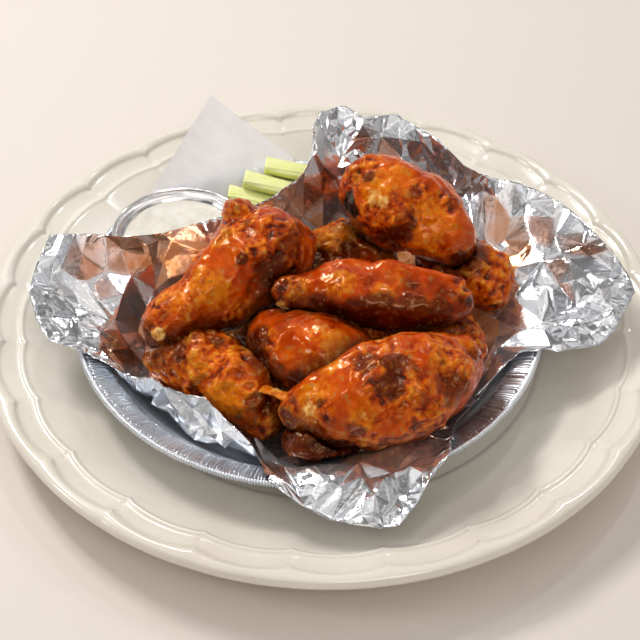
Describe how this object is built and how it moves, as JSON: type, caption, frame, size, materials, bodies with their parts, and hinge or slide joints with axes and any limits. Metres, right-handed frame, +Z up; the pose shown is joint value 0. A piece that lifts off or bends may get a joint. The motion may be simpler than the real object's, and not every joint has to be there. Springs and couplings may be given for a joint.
{
  "type": "plate of sauced chicken wings in a foil-lined pan",
  "caption": "Glazed chicken wings piled in a foil-lined shallow pan on a scalloped plate, with a cup of dip, celery sticks and waxed paper.",
  "frame": {"origin": "centre of the plate's foot ring, on the table", "axes": "+Z up, +X to the right and +Y away from the picture's camera"},
  "size_m": [0.2998, 0.2998, 0.0813],
  "materials": {
    "glaze": "glossy cream glaze",
    "pan_foil": "bright pressed foil with a fluted lip",
    "lining_foil": "bright crumpled foil",
    "cup_foil": "bright pressed foil",
    "dip": "creamy dip with a soft sheen",
    "wax_paper": "thin waxed paper, slightly see-through",
    "sauced_crust": "crisp crust under a sticky orange-red glaze",
    "celery": "fresh cut stalk, moist"
  },
  "bodies": {
    "root": {"plate": "glaze", "pan": "pan_foil", "foil": "lining_foil", "dip_cup": "cup_foil", "dip": "dip", "wax_paper": "wax_paper", "wing_centre": "sauced_crust", "wing_left": "sauced_crust", "wing_back": "sauced_crust", "wing_front": "sauced_crust", "wing_middle": "sauced_crust", "wing_front_left": "sauced_crust", "wing_back_right": "sauced_crust", "wing_back_small": "sauced_crust", "wing_right_low": "sauced_crust", "wing_front_low": "sauced_crust", "celery_front": "celery", "celery_middle": "celery", "celery_back": "celery"}
  },
  "joints": []
}
